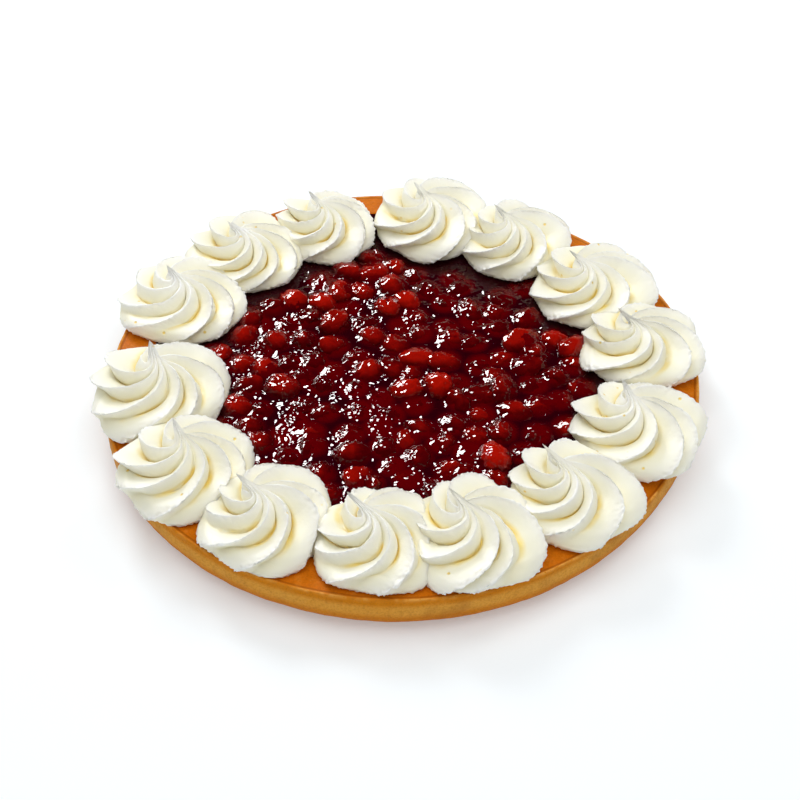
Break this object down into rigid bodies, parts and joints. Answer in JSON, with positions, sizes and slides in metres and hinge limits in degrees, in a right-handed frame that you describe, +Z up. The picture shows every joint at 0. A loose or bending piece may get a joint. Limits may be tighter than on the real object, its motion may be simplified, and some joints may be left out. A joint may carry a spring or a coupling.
{
  "type": "cherry pie",
  "caption": "Round open cherry pie: a low baked pastry case filled with cherries in glossy dark red jelly and ringed with large piped whipped cream rosettes.",
  "frame": {"origin": "centre of the flat underside of the pastry case", "axes": "+Z up, -Y is the front, +X to the right seen from the front"},
  "size_m": [0.2859, 0.2812, 0.0448],
  "materials": {
    "crust": "baked sweet pastry, golden brown with a darker top ledge and a paler floury side, dull",
    "filling": "whole cherries in thick dark red jelly, wet and very glossy",
    "cream": "piped whipped cream, ivory white, soft satin"
  },
  "bodies": {
    "root": {"crust": "crust", "filling": "filling", "rosette_01": "cream", "rosette_02": "cream", "rosette_03": "cream", "rosette_04": "cream", "rosette_05": "cream", "rosette_06": "cream", "rosette_07": "cream", "rosette_08": "cream", "rosette_09": "cream", "rosette_10": "cream", "rosette_11": "cream", "rosette_12": "cream", "rosette_13": "cream", "rosette_14": "cream"}
  },
  "joints": []
}
